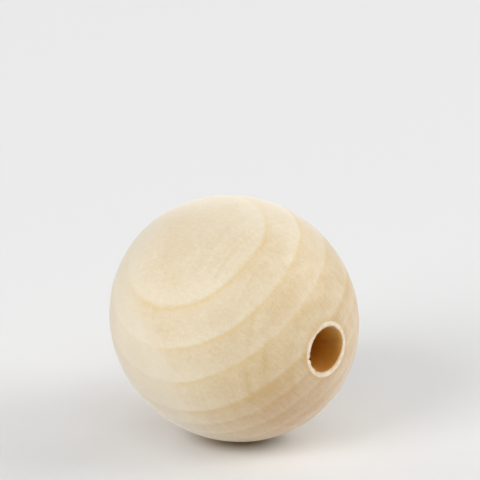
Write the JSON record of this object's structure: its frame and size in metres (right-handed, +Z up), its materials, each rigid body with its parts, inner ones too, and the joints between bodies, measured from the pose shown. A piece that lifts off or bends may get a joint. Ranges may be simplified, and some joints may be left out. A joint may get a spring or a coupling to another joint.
{
  "type": "wooden bead",
  "caption": "Round bead of pale turned wood, slightly narrower one way, with a straight through bore and a small flat at each mouth.",
  "frame": {"origin": "middle of the ball, on the line of the bore and halfway along it", "axes": "+X along the bore, +Z up as the bead lies on a table with its bore level"},
  "size_m": [0.0244, 0.024, 0.0246],
  "materials": {
    "wood": "sanded, bare"
  },
  "bodies": {
    "root": {"bead": "wood"}
  },
  "joints": []
}
